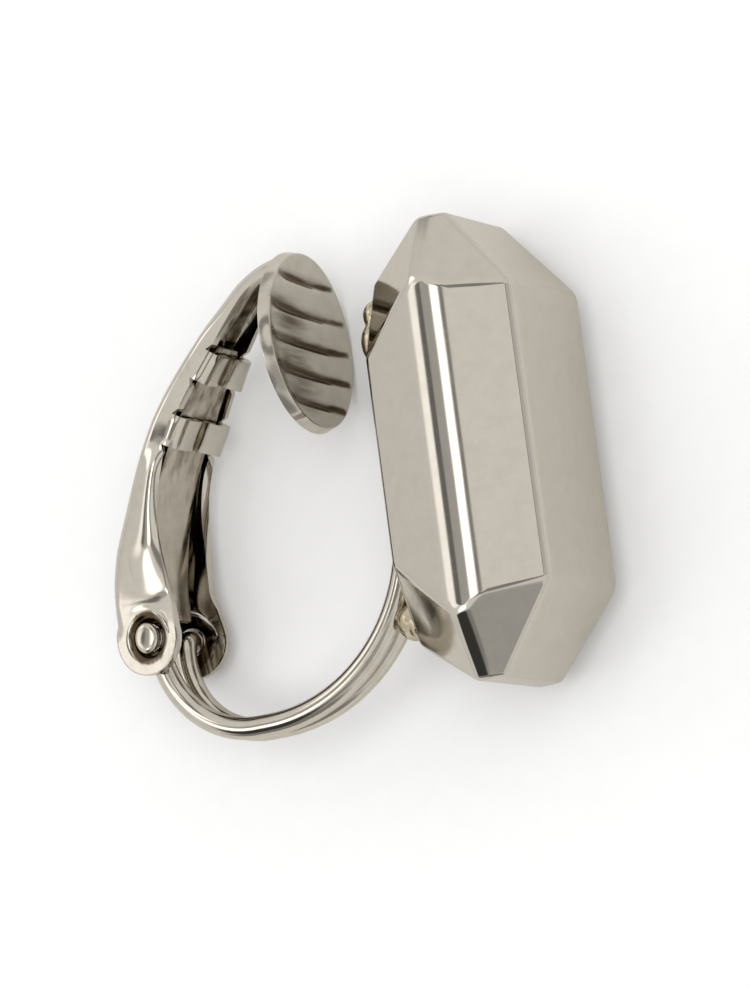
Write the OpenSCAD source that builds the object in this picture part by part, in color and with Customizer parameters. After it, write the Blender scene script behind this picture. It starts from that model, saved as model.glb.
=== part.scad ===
// Clip on earring: a faceted metal block on a round wire loop, with a
// hinged spring lever and an oval pad that close on the ear lobe from behind.
//
// Every piece is drawn first as worn: X forward, away from the ear, Y up along
// the block, Z to the side. at_rest() then leans all of it so that it lies on
// its far side, on the block's band and the pad's rim, with the floor at z = 0.
// All lengths are in millimetres.

/* [Faceted block] */
// Length over the two ends of the band
block_len = 19.9; // [18.5:0.1:21.5]
// Width over the two sides of the band
block_width = 8.4; // [8.1:0.1:8.8]
// Thickness of the narrow flat band round the middle
band_thick = 1.3; // [0.9:0.1:1.6]
// Rise of the front bevels from the band to the flat table
front_rise = 2.9; // [2.4:0.05:3.6]
// Rise of the back bevels from the band to the flat back
back_rise = 3.25; // [2.8:0.05:4]
// Straight stretch of each side, as a share of the length
side_share = 0.71; // [0.67:0.01:0.78]
// Straight stretch of each end, as a share of the width
end_share = 0.68; // [0.56:0.01:0.74]
// Length of the table, as a share of the length
table_len_share = 0.64; // [0.58:0.01:0.66]
// Width of the table, as a share of the width
table_width_share = 0.75; // [0.64:0.01:0.8]
// Length of the flat back, as a share of the length
back_len_share = 0.78; // [0.74:0.01:0.82]
// Width of the flat back, as a share of the width
back_width_share = 0.72; // [0.62:0.01:0.78]
// How far each front corner facet trims the corner of the table
corner_trim = 0.08; // [0.04:0.02:0.2]
// How far each back corner facet trims the corner of the flat back
back_corner_trim = 1.6; // [1.2:0.1:1.8]

/* [Wire loop] */
// Diameter of the round wire
wire_d = 1.0; // [0.85:0.05:1.05]
// Clear space between the two legs
leg_space = 0.12; // [0.08:0.02:0.3]
// Depth to which the legs are sunk in the flat back by the soldering
wire_sink = 0.12; // [0.06:0.02:0.2]
// Radius of the big bend under the lobe, at the wire's centre line
sweep_r = 7.6; // [7:0.1:8.2]
// Straight stretch between the two bends, at the loop's lowest point
bottom_len = 0.65; // [0.3:0.05:1]
// Radius of the smaller bend that turns up to the hinge
turn_up_r = 4.1; // [3.7:0.1:4.5]
// Angle at which that bend splays each leg outward to its ear, in degrees
leg_splay = 7; // [5:0.5:9]
// Radius of the bend that turns each leg out through its ear
end_bend_r = 0.55; // [0.5:0.01:0.6]
// Height of the hinge below the middle of the block
hinge_drop = 5.2; // [4.8:0.05:5.6]
// Height of the loop's closed end above the middle of the block
loop_top = 5.6; // [5:0.1:6]
// Radius of the solder at the closed end
top_solder_r = 1.25; // [1.1:0.05:1.4]
// Radius of the solder where the legs leave the block
foot_solder_r = 0.95; // [0.8:0.05:1.1]
// Height of that solder below the middle of the block
foot_drop = 6.6; // [6.2:0.1:6.9]

/* [Lever] */
// Thickness of the stamped sheet
sheet_t = 0.35; // [0.3:0.01:0.42]
// Width over the channel at its widest
lever_width = 4.3; // [4.1:0.05:4.5]
// Width over the two ears, which are pinched in towards the wire
ear_width = 3.7; // [3.55:0.05:3.9]
// Width of the neck just above the tabs
neck_width = 3.1; // [2.9:0.1:3.4]
// Width of the neck where it meets the pad
neck_tip_width = 2.1; // [1.8:0.1:2.3]
// Radius of each round ear
ear_r = 1.63; // [1.5:0.05:1.75]
// Radius of the dimple pressed round each hinge hole
dimple_r = 1.0; // [0.85:0.05:1.15]
// Height of the web's lower edge above the hinge
web_start = 1.0; // [0.9:0.1:1.6]
// Straight run up the back from the hinge's height
heel_len = 0.9; // [0.6:0.1:1.2]
// Radius of the short bend above the heel
heel_r = 5.5; // [4.5:0.25:6.5]
// Angle of the short bend above the heel, in degrees
heel_turn = 21; // [19:0.5:23]
// Radius of the long bowed back
bow_r = 38; // [34:0.5:42]
// Length of the long bowed back
bow_len = 13.3; // [12.8:0.05:13.8]
// Radius over which the neck turns forward to the pad
neck_r = 3.45; // [3.2:0.05:3.8]
// Straight end of the neck that runs into the pad
neck_lead = 0.45; // [0.3:0.05:0.6]
// Run over which the side walls taper from the ears to their low part
flare_len = 9.5; // [8.5:0.1:10.2]
// Run along the back from the hinge to the middle of the lower tabs
low_tab_run = 9.85; // [9.6:0.05:10.3]
// Run along the back from the hinge to the middle of the upper tabs
high_tab_run = 12.98; // [12.7:0.02:13.4]
// Length of each folded tab along the lever
tab_len = 1.25; // [0.9:0.05:1.4]
// Gap between the tips of two facing tabs
tab_gap = 0.5; // [0.3:0.1:0.9]

/* [Pad] */
// Height of the oval pad
pad_height = 7.9; // [7.6:0.05:8.3]
// Width of the oval pad
pad_width = 7.3; // [7:0.1:7.6]
// Thickness of the dished metal
pad_t = 0.55; // [0.45:0.05:0.65]
// Depth of the dish
dish_depth = 0.6; // [0.4:0.05:0.9]
// Lean of the pad's top away from the block, in degrees
pad_tilt = 0.5; // [0:0.5:4]
// Spacing of the grip grooves
groove_pitch = 1.38; // [1.2:0.02:1.44]
// Radius of each grip groove
groove_r = 0.14; // [0.1:0.01:0.2]

/* [Leaf spring] */
// Thickness of the spring strip
spring_t = 0.25; // [0.2:0.01:0.3]
// Side clearance between the strip and each wall of the channel
spring_side = 0.22; // [0.15:0.01:0.35]
// Length of strip that shows above the upper tabs
spring_lead = 0.25; // [0.1:0.05:0.4]
// Height of the strip's free end above the hinge, clear of the wire
spring_tip_up = 0.78; // [0.75:0.01:0.9]
// Distance of the strip's free end in front of the hinge
spring_tip_out = 0.35; // [0.1:0.05:0.45]

/* [Fits] */
// Radial clearance of the wire ends in their holes
hinge_clear = 0.05; // [0.02:0.01:0.1]
// Gap left above and below the clamped strip
seat_gap = 0.06; // [0.04:0.01:0.1]

/* [Hidden] */
$fn = 64;

// The block's planes and corners: half sizes across (z) and along (y)
x_table = band_thick / 2 + front_rise;
x_back = -band_thick / 2 - back_rise;
band_half = [block_width / 2, block_len / 2];
side_corner = [block_width / 2, side_share * block_len / 2];
end_corner = [end_share * block_width / 2, block_len / 2];
table_half = [table_width_share * block_width / 2, table_len_share * block_len / 2];
back_half = [back_width_share * block_width / 2, back_len_share * block_len / 2];
corner_edge = side_corner - end_corner;
corner_out = [-corner_edge[1], corner_edge[0]] / norm(corner_edge);
corner_angle = atan2(corner_out[0], corner_out[1]);

// The wire loop's centre line
leg_z = (leg_space + wire_d) / 2;
x_wire = x_back - wire_d / 2 + wire_sink;
x_sweep = x_wire - sweep_r;
x_turn = x_sweep - bottom_len;
pivot = [x_turn - turn_up_r, -hinge_drop];
end_z = leg_z + turn_up_r * sin(leg_splay);
y_turn = pivot[1] - end_bend_r * (1 - sin(leg_splay));
y_low = y_turn - turn_up_r * cos(leg_splay);
y_sweep = y_low + sweep_r;

// The lever's back is a straight heel, then three arcs that share tangents.
// "run" is the distance along it from the hinge's height.
heel_c = [pivot[0] - ear_r + heel_r, pivot[1] + heel_len];
bow_c = heel_c + (bow_r - heel_r) * [cos(heel_turn), -sin(heel_turn)];
bow_turn = bow_len / bow_r * 180 / PI;
neck_start = heel_turn + bow_turn;
neck_c = bow_c + (neck_r - bow_r) * [cos(neck_start), -sin(neck_start)];
heel_end = heel_len + heel_r * heel_turn * PI / 180;
bow_end = heel_end + bow_len;
neck_end = bow_end + neck_r * (90 - neck_start) * PI / 180;

// Depths measured in from the lever's back
strip_back = sheet_t + seat_gap;
strip_front = strip_back + spring_t;
tab_under = strip_front + seat_gap;
tab_over = tab_under + sheet_t;
wall_depth = tab_under + 0.05;
half_width = lever_width / 2;
half_ears = ear_width / 2;
hole_r = wire_d / 2 + hinge_clear;

// The pad hangs from the end of the neck
pad_top = neck_c + [neck_lead + 0.2, neck_r + 0.12];
pad_centre = pad_top + pad_height / 2 * [sin(pad_tilt), -cos(pad_tilt)];
dish_half = (pad_height + pad_width) / 4;
dish_r = (dish_half * dish_half + dish_depth * dish_depth) / (2 * dish_depth);
dish_c = dish_r - dish_depth;
pad_back = pad_centre[0] - cos(pad_tilt) * (sqrt(pow(dish_r + pad_t, 2) - pow(pad_width / 2, 2)) - dish_c);

// Lying on its far side, it touches with the band's back edge and the pad's rim
lean = atan((block_width - pad_width) / 2 / (-band_thick / 2 - pad_back));
floor_z = -sin(lean) * band_thick / 2 - cos(lean) * block_width / 2;
x_front_end = x_table * cos(lean) + table_half[0] * sin(lean);
x_back_end = (pivot[0] - ear_r) * cos(lean) - half_width * sin(lean);
y_bottom = min(y_low - wire_d / 2, -block_len / 2);
y_top = max(pad_top[1], block_len / 2);

// Angle of the lever's back, from the vertical, at a run along it
function turn_at(run) =
    run <= heel_len ? 0
    : run <= heel_end ? (run - heel_len) / heel_r * 180 / PI
    : run <= bow_end ? heel_turn + (run - heel_end) / bow_r * 180 / PI
    : run <= neck_end ? neck_start + (run - bow_end) / neck_r * 180 / PI
    : 90;

// Point at a run along the lever's back and a depth in from it
function lever_point(run, depth) =
    let (a = turn_at(run), way = [-cos(a), sin(a)])
    run <= heel_len ? [pivot[0] - ear_r + depth, pivot[1] + run]
    : run <= heel_end ? heel_c + (heel_r - depth) * way
    : run <= bow_end ? bow_c + (bow_r - depth) * way
    : run <= neck_end ? neck_c + (neck_r - depth) * way
    : neck_c + [run - neck_end, neck_r - depth];

// Depth of the side walls, which tapers smoothly from the ears
function wall_at(run) =
    2 * ear_r + (wall_depth - 2 * ear_r) * (0.5 - 0.5 * cos(180 * min(1, run / flare_len)));

// Stations along the lever's back, closer together where it bends more
runs = concat(
    [for (i = [0:1]) heel_len * i / 2],
    [for (i = [0:4]) heel_len + (heel_end - heel_len) * i / 5],
    [for (i = [0:12]) heel_end + bow_len * i / 13],
    [for (i = [0:12]) bow_end + (neck_end - bow_end) * i / 12],
    [neck_end + neck_lead]
);

// Band of the lever's side view between two depths and two runs
module lever_band(low, high, inner, outer) {
    steps = 4;
    stations = [for (i = [0:steps]) low + (high - low) * i / steps];
    polygon(concat(
        [for (s = stations) lever_point(s, inner)],
        [for (i = [steps:-1:0]) lever_point(stations[i], outer)]
    ));
}

// Eight sided section of the block, drawn against the distance from its middle
module facet_prism(half_mid, half_front, half_back) {
    linear_extrude(height = 2 * block_len, center = true)
        polygon([
            [x_back, -half_back], [-band_thick / 2, -half_mid],
            [band_thick / 2, -half_mid], [x_table, -half_front],
            [x_table, half_front], [band_thick / 2, half_mid],
            [-band_thick / 2, half_mid], [x_back, half_back]
        ]);
}

// Solid block with a flat table, a flat back, a band and bevelled facets all round
module faceted_block() {
    corner_mid = corner_out * side_corner;
    corner_front = corner_out * table_half - corner_trim;
    corner_back = corner_out * back_half - back_corner_trim;
    intersection() {
        facet_prism(band_half[1], table_half[1], back_half[1]);
        rotate([90, 0, 0])
            facet_prism(band_half[0], table_half[0], back_half[0]);
        rotate([corner_angle, 0, 0])
            facet_prism(corner_mid, corner_front, corner_back);
        rotate([-corner_angle, 0, 0])
            facet_prism(corner_mid, corner_front, corner_back);
    }
}

// One leg of the wire, from its end in the ear to the loop's closed top
module wire_leg(side) {
    wire_r = wire_d / 2;
    straight_top = loop_top - leg_z;
    bend_z = end_z + end_bend_r * cos(leg_splay);
    // End that passes through the ear
    translate([pivot[0], pivot[1], side * bend_z])
        rotate([0, side > 0 ? 0 : 180, 0])
            cylinder(r = wire_r, h = half_ears - bend_z - 0.04, $fn = 32);
    // Bend from that end down into the leg
    translate([pivot[0], pivot[1] - end_bend_r, side * bend_z])
        rotate([0, side > 0 ? 90 : -90, 0])
            rotate([0, 0, leg_splay])
                rotate_extrude(angle = 90 - leg_splay)
                    translate([end_bend_r, 0])
                        circle(r = wire_r, $fn = 32);
    // Smaller bend up to the hinge, splayed outward about the lowest point
    translate([x_turn, y_low, side * leg_z])
        rotate([side * leg_splay, 0, 0])
            translate([0, turn_up_r, 0])
                rotate([0, 0, 180])
                    rotate_extrude(angle = 90)
                        translate([turn_up_r, 0])
                            rotate([0, 0, side * leg_splay])
                                circle(r = wire_r, $fn = 32);
    // Straight stretch at the lowest point
    translate([x_turn, y_low, side * leg_z])
        rotate([0, 90, 0])
            cylinder(r = wire_r, h = bottom_len, $fn = 32);
    // Big bend under the lobe
    translate([x_sweep, y_sweep, side * leg_z])
        rotate([0, 0, -90])
            rotate_extrude(angle = 90)
                translate([sweep_r, 0])
                    circle(r = wire_r, $fn = 32);
    // Straight stretch up the flat back
    translate([x_wire, y_sweep, side * leg_z])
        rotate([-90, 0, 0])
            cylinder(r = wire_r, h = straight_top - y_sweep, $fn = 32);
}

// Rounded lump of solder that lies across both legs
module solder_lump(x, y, radius) {
    translate([x, y, -leg_z])
        cylinder(r = radius, h = 2 * leg_z);
    for (side = [-1, 1])
        translate([x, y, side * leg_z])
            sphere(r = radius);
}

// The block and the wire loop soldered to its back
module block_and_wire() {
    color("Gainsboro") at_rest() {
        faceted_block();
        for (side = [-1, 1])
            wire_leg(side);
        // Closed end of the loop
        translate([x_wire, loop_top - leg_z, 0])
            rotate([0, 90, 0])
                rotate_extrude(angle = 180)
                    translate([leg_z, 0])
                        circle(r = wire_d / 2, $fn = 32);
        solder_lump(x_back + 0.05, loop_top, top_solder_r);
        solder_lump(x_back - foot_solder_r / 2, -foot_drop, foot_solder_r);
        solder_lump(x_back, -foot_drop - foot_solder_r / 2, 0.7 * foot_solder_r);
    }
}

// Width of the lever seen from the front: pinched at the ears, tapered to the neck
module lever_plan(inset) {
    ears = half_ears - inset;
    wide = half_width - inset;
    slim = neck_width / 2 - inset;
    tip = neck_tip_width / 2 - inset;
    pinch_end = pivot[1] + 2.5 * ear_r;
    taper_low = lever_point(low_tab_run, 0)[1];
    taper_high = lever_point(high_tab_run + tab_len / 2 + spring_lead, 0)[1];
    translate([pivot[0] + 2 * block_len, 0, 0])
        rotate([0, -90, 0])
            linear_extrude(height = 4 * block_len)
                polygon([
                    [-ears, -block_len], [ears, -block_len],
                    [ears, pivot[1] + ear_r], [wide, pinch_end],
                    [wide, taper_low], [slim, taper_high],
                    [tip, pad_top[1]], [-tip, pad_top[1]],
                    [-slim, taper_high], [-wide, taper_low],
                    [-wide, pinch_end], [-ears, pivot[1] + ear_r]
                ]);
}

// Stamped channel with two ears, open towards the block
module lever_channel() {
    dimple_depth = 0.65 * sheet_t;
    difference() {
        intersection() {
            linear_extrude(height = lever_width, center = true) {
                polygon(concat(
                    [for (r = runs) lever_point(r, 0)],
                    [for (i = [len(runs) - 1:-1:0]) lever_point(runs[i], wall_at(runs[i]))]
                ));
                translate(pivot)
                    circle(r = ear_r);
            }
            lever_plan(0);
        }
        // Inside of the channel, with the web cut away round the hinge
        intersection() {
            linear_extrude(height = lever_width, center = true) {
                polygon(concat(
                    [for (r = runs) lever_point(r, sheet_t)],
                    [[pad_top[0] + ear_r, neck_c[1] + neck_r - sheet_t]],
                    [[pad_top[0] + ear_r, pivot[1]]]
                ));
                translate(pivot - 2 * [ear_r, ear_r])
                    square([4 * ear_r, 2 * ear_r + web_start]);
            }
            lever_plan(sheet_t);
        }
        // Hinge holes, each in a pressed dimple
        translate([pivot[0], pivot[1], 0])
            cylinder(r = hole_r, h = 2 * lever_width, center = true);
        for (side = [0, 180])
            translate([pivot[0], pivot[1], 0])
                rotate([side, 0, 0])
                    translate([0, 0, half_ears - dimple_depth])
                        cylinder(r1 = hole_r, r2 = 2 * dimple_r - hole_r, h = 2 * dimple_depth);
    }
}

// Pair of facing tabs folded in over the spring strip
module folded_tabs(run) {
    intersection() {
        for (side = [-1, 1])
            translate([0, 0, side * (half_width / 2 + tab_gap / 4)])
                linear_extrude(height = half_width - tab_gap / 2, center = true)
                    lever_band(run - tab_len / 2, run + tab_len / 2, tab_under, tab_over);
        lever_plan(0);
    }
}

// Dished oval pad with grip grooves across its hollow face
module grip_pad() {
    oval = [for (a = [0:5:355]) [pad_width / 2 * cos(a), pad_height / 2 * sin(a)]];
    translate([pad_centre[0], pad_centre[1], 0])
        rotate([0, 0, pad_tilt])
            difference() {
                intersection() {
                    rotate([0, -90, 0])
                        linear_extrude(height = pad_height)
                            polygon(oval);
                    translate([dish_c, 0, 0])
                        sphere(r = dish_r + pad_t, $fn = 96);
                }
                translate([dish_c, 0, 0])
                    sphere(r = dish_r, $fn = 96);
                for (i = [-2:2]) {
                    y = i * groove_pitch;
                    major = sqrt(dish_r * dish_r - y * y);
                    reach = pad_width / 2 * sqrt(1 - pow(2 * y / pad_height, 2)) - 0.45;
                    half_angle = asin(reach / major);
                    translate([dish_c, y, 0])
                        rotate([-90, 0, 0])
                            rotate([0, 0, 180 - half_angle])
                                rotate_extrude(angle = 2 * half_angle)
                                    translate([major, 0])
                                        circle(r = groove_r, $fn = 24);
                }
            }
}

// The lever: ears, channel, tabs, neck and pad in one piece of metal
module clip_lever() {
    color("Silver") at_rest() {
        difference() {
            union() {
                lever_channel();
                folded_tabs(low_tab_run);
                folded_tabs(high_tab_run);
            }
            // The neck ends behind the pad's hollow face
            translate([pad_centre[0], pad_centre[1], 0])
                rotate([0, 0, pad_tilt])
                    translate([dish_c, 0, 0])
                        sphere(r = dish_r + pad_t / 2, $fn = 96);
        }
        grip_pad();
    }
}

// Spring strip: clamped flat under the tabs, then curving clear of the web to the wire
module leaf_spring() {
    low_run = low_tab_run - tab_len / 2;
    high_run = high_tab_run + tab_len / 2 + spring_lead;
    mid = (strip_back + strip_front) / 2;
    start = lever_point(low_run, mid);
    tip = pivot + [spring_tip_out, spring_tip_up];
    chord = tip - start;
    start_turn = turn_at(low_run);
    // Angle between the strip's direction at the tabs and the chord to its tip
    swing = start_turn - atan2(-chord[0], -chord[1]);
    bend_r = norm(chord) / (2 * sin(swing));
    bend_c = start + bend_r * [cos(start_turn), -sin(start_turn)];
    steps = 10;
    arc = [for (i = [0:steps]) start_turn - 2 * swing * i / steps];
    color("LightSteelBlue") at_rest()
        intersection() {
            linear_extrude(height = lever_width, center = true) {
                lever_band(low_run - 0.05, high_run, strip_back, strip_front);
                polygon(concat(
                    [for (a = arc) bend_c + (bend_r - spring_t / 2) * [-cos(a), sin(a)]],
                    [for (i = [steps:-1:0]) bend_c + (bend_r + spring_t / 2) * [-cos(arc[i]), sin(arc[i])]]
                ));
            }
            lever_plan(sheet_t + spring_side);
        }
}

// Leans the worn earring onto its far side and centres it over the origin
module at_rest() {
    translate([-(x_front_end + x_back_end) / 2, -(y_top + y_bottom) / 2, -floor_z])
        rotate([0, -lean, 0])
            children();
}

block_and_wire();
clip_lever();
leaf_spring();
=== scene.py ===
import math

import bpy
from mathutils import Matrix, Vector


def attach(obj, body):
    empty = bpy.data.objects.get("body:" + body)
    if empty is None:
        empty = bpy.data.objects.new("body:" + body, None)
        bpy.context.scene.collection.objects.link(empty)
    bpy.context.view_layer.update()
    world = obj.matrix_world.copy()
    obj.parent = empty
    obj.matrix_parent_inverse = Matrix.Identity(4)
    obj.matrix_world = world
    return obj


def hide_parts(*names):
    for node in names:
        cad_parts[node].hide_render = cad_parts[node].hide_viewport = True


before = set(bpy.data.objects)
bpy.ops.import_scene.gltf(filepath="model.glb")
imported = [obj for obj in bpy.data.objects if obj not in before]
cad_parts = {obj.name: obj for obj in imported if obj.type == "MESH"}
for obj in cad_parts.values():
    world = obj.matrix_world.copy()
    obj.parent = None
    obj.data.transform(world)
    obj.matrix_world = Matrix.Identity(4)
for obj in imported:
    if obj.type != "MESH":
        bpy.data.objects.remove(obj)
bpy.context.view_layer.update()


# Faceted block: the jewel itself, one solid casting with a flat front and back, a band at its widest
# and sloping facets all round. The facets are ground flat, then polished and plated, which leaves
# every edge softly rounded.

# Every piece is drawn upright in millimetres, as it is worn: x forward from the ear, y up the block,
# z to the side
block_length = 19.9
block_width = 8.4
band = 1.3
crown_height, back_height = 2.9, 3.25
front_x = band / 2 + crown_height
back_x = -band / 2 - back_height
side_straight = 0.71 * block_length / 2
end_straight = 0.68 * block_width / 2
front_flat = (0.75 * block_width / 2, 0.64 * block_length / 2)
back_flat = (0.72 * block_width / 2, 0.78 * block_length / 2)
back_trim = 1.45
corner_dip = 0.62
edge_rounding = 0.52

# The casting's blank is this much longer and wider than the finished block
spare_stock = 2

# How the whole earring lies: leaned a little, on the band and the pad's rim
lean = math.radians(4.05397)
rest_shift = Vector((7.30125, -0.0309, 4.23544))
laid = Matrix.Scale(0.001, 4) @ Matrix.Translation(rest_shift) @ Matrix.Rotation(-lean, 4, "Y")


def use_only(piece):
    """Selects one piece and makes it the active one."""
    if bpy.context.object and bpy.context.object.mode != "OBJECT":
        bpy.ops.object.mode_set(mode="OBJECT")
    bpy.ops.object.select_all(action="DESELECT")
    piece.select_set(True)
    bpy.context.view_layer.objects.active = piece


def clear_bench():
    """Leaves edit mode and deselects everything before a new primitive is added."""
    if bpy.context.object and bpy.context.object.mode != "OBJECT":
        bpy.ops.object.mode_set(mode="OBJECT")
    bpy.ops.object.select_all(action="DESELECT")


def apply_all(piece):
    """Applies the piece's modifiers in their order."""
    use_only(piece)
    for modifier in list(piece.modifiers):
        bpy.ops.object.modifier_apply(modifier=modifier.name)


def lay_down(piece):
    """Leans the finished piece as the earring lies and applies it, in metres."""
    use_only(piece)
    piece.matrix_world = laid @ piece.matrix_world
    bpy.ops.object.transform_apply(location=True, rotation=True, scale=True)


def even_shading(piece):
    """Shades flats as flat and lets only the rounded edges turn."""
    use_only(piece)
    bpy.ops.object.shade_smooth()
    piece.modifiers.new("even", "WEIGHTED_NORMAL").weight = 80
    apply_all(piece)


def cut_facet(point, normal):
    """Grinds the block flat on one plane."""
    bpy.ops.mesh.select_all(action="SELECT")
    bpy.ops.mesh.bisect(plane_co=point, plane_no=normal.normalized(), use_fill=True, clear_outer=True)


clear_bench()
bpy.ops.mesh.primitive_cube_add(
    size=1,
    location=((front_x + back_x) / 2, 0, 0),
    scale=(front_x - back_x, block_length + spare_stock, block_width + spare_stock),
)
block = bpy.context.object
block.name = "faceted_block"
bpy.ops.object.transform_apply(location=True, rotation=True, scale=True)
bpy.ops.object.mode_set(mode="EDIT")

side_corner = Vector((0, side_straight, block_width / 2))
end_corner = Vector((0, block_length / 2, end_straight))
along_corner = side_corner - end_corner
corner_out = Vector((0, along_corner.z, -along_corner.y)).normalized()
corner_widths = (
    corner_out.dot(side_corner),
    corner_out.dot(Vector((0, front_flat[1], front_flat[0]))),
    corner_out.dot(Vector((0, back_flat[1], back_flat[0]))) - back_trim,
)
cuts = []
for way in (1, -1):
    cuts.append((Vector((0, 0, way)), block_width / 2, front_flat[0], back_flat[0], 0.0))
    cuts.append((Vector((0, way, 0)), block_length / 2, front_flat[1], back_flat[1], 0.0))
    for other in (1, -1):
        cuts.append((Vector((0, corner_out.y * way, corner_out.z * other)), *corner_widths, corner_dip))
for out, middle, front, back, dip in cuts:
    edge = out * middle
    rise = front_x - band / 2 + dip
    cut_facet(edge, out)
    cut_facet(edge + Vector((band / 2 - dip, 0, 0)), out * rise + Vector((middle - front, 0, 0)))
    cut_facet(edge - Vector((band / 2, 0, 0)), out * (-back_x - band / 2) - Vector((middle - back, 0, 0)))

# The long band edges are rounded most by the polishing, the back's next to that
facet_weight, short_band_weight = 0.42, 0.4
bpy.ops.mesh.select_all(action="SELECT")
bpy.ops.mesh.remove_doubles(threshold=0.03)
bpy.ops.mesh.dissolve_limited(angle_limit=math.radians(1))
bpy.ops.mesh.select_all(action="SELECT")
bpy.ops.transform.edge_bevelweight(value=facet_weight)
bpy.ops.object.mode_set(mode="OBJECT")
weights = block.data.attributes["bevel_weight_edge"].data
for edge in block.data.edges:
    first, last = (block.data.vertices[i].co for i in edge.vertices)
    for depth, weight in ((band / 2, 1.0), (-band / 2, 1.0), (back_x, 0.75), (front_x, 0.55)):
        if max(abs(first.x - depth), abs(last.x - depth)) < 0.03:
            on_side = min(abs(first.z), abs(last.z)) > block_width / 2 - 0.05
            weights[edge.index].value = weight if on_side or weight < 1 else short_band_weight
rounding = block.modifiers.new("polished edges", "BEVEL")
rounding.limit_method = "WEIGHT"
rounding.width = edge_rounding
rounding.segments = 6
rounding.use_clamp_overlap = False
apply_all(block)
lay_down(block)
even_shading(block)


def polish_group():
    """Node group: the faint unevenness of hand polished, plated metal."""
    group = bpy.data.node_groups.new("polished surface", "ShaderNodeTree")
    for name, value in (
        ("Wave size", 500.0),
        ("Haze size", 1400.0),
        ("Scratch size", 9000.0),
        ("Base roughness", 0.07),
        ("Haze amount", 0.05),
        ("Scratch amount", 0.3),
    ):
        socket = group.interface.new_socket(name, in_out="INPUT", socket_type="NodeSocketFloat")
        socket.default_value = value
    for name in ("Roughness", "Height", "Tone"):
        group.interface.new_socket(name, in_out="OUTPUT", socket_type="NodeSocketFloat")
    nodes, links = group.nodes, group.links
    given = nodes.new("NodeGroupInput")
    result = nodes.new("NodeGroupOutput")
    place = nodes.new("ShaderNodeTexCoord")

    def noise(size, detail, rough, distortion=0.0):
        node = nodes.new("ShaderNodeTexNoise")
        node.inputs["Detail"].default_value = detail
        node.inputs["Roughness"].default_value = rough
        node.inputs["Distortion"].default_value = distortion
        links.new(given.outputs[size], node.inputs["Scale"])
        links.new(place.outputs["Object"], node.inputs["Vector"])
        return node

    def maths(kind, first, second):
        node = nodes.new("ShaderNodeMath")
        node.operation = kind
        for socket, value in zip(node.inputs, (first, second)):
            if isinstance(value, (int, float)):
                socket.default_value = value
            else:
                links.new(value, socket)
        return node.outputs[0]

    waves = noise("Wave size", 1.0, 0.4)
    haze = noise("Haze size", 4.0, 0.6)
    stretch = nodes.new("ShaderNodeMapping")
    stretch.inputs["Scale"].default_value = (0.12, 1.0, 0.35)
    stretch.inputs["Rotation"].default_value = (0.2, 0.5, 0.9)
    links.new(place.outputs["Object"], stretch.inputs["Vector"])
    scratches = nodes.new("ShaderNodeTexNoise")
    scratches.inputs["Detail"].default_value = 3.0
    links.new(given.outputs["Scratch size"], scratches.inputs["Scale"])
    links.new(stretch.outputs["Vector"], scratches.inputs["Vector"])
    fine = nodes.new("ShaderNodeMapRange")
    fine.inputs["From Min"].default_value = 0.62
    fine.inputs["From Max"].default_value = 0.72
    links.new(scratches.outputs["Fac"], fine.inputs["Value"])
    cloudy = nodes.new("ShaderNodeMapRange")
    cloudy.inputs["From Min"].default_value = 0.35
    cloudy.inputs["From Max"].default_value = 0.75
    links.new(haze.outputs["Fac"], cloudy.inputs["Value"])
    hazy = maths("MULTIPLY", cloudy.outputs["Result"], given.outputs["Haze amount"])
    scored = maths("MULTIPLY", fine.outputs["Result"], given.outputs["Scratch amount"])
    rough = maths("ADD", given.outputs["Base roughness"], hazy)
    rough = maths("ADD", rough, maths("MULTIPLY", scored, 0.12))
    height = maths("SUBTRACT", waves.outputs["Fac"], maths("MULTIPLY", scored, 0.05))
    links.new(rough, result.inputs["Roughness"])
    links.new(height, result.inputs["Height"])
    links.new(cloudy.outputs["Result"], result.inputs["Tone"])
    return group


polished = polish_group()


def plated_metal(name, bright, darkened, sizes, bump):
    """Plated metal with its own tone and its own share of the polish's unevenness."""
    material = bpy.data.materials.new(name)
    material.use_nodes = True
    nodes, links = material.node_tree.nodes, material.node_tree.links
    surface = nodes["Principled BSDF"]
    surface.inputs["Metallic"].default_value = 1.0
    surface.inputs["Specular Tint"].default_value = (0.85, 0.83, 0.79, 1)
    finish = nodes.new("ShaderNodeGroup")
    finish.node_tree = polished
    for socket, value in sizes.items():
        finish.inputs[socket].default_value = value
    blend = nodes.new("ShaderNodeMix")
    blend.data_type = "RGBA"
    blend.inputs["A"].default_value = (*bright, 1)
    blend.inputs["B"].default_value = (*darkened, 1)
    links.new(finish.outputs["Tone"], blend.inputs["Factor"])
    links.new(blend.outputs["Result"], surface.inputs["Base Color"])
    links.new(finish.outputs["Roughness"], surface.inputs["Roughness"])
    relief = nodes.new("ShaderNodeBump")
    relief.inputs["Strength"].default_value = bump
    relief.inputs["Distance"].default_value = 0.00002
    links.new(finish.outputs["Height"], relief.inputs["Height"])
    links.new(relief.outputs["Normal"], surface.inputs["Normal"])
    return material


block_metal = plated_metal(
    "polished block",
    bright=(0.525, 0.488, 0.427),
    darkened=(0.495, 0.458, 0.395),
    sizes={
        "Wave size": 230.0,
        "Base roughness": 0.06,
        "Haze amount": 0.05,
        "Scratch amount": 0.25,
    },
    bump=0.8,
)
block.data.materials.append(block_metal)
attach(block, "setting")
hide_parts("block_and_wire")


# Wire loop: one length of round wire, bent double over the block's back. Its two legs lie side by
# side, sweep down, spread and turn up to the hinge, where each end is turned outward through one ear
# of the lever and given a small oval head.

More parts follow.
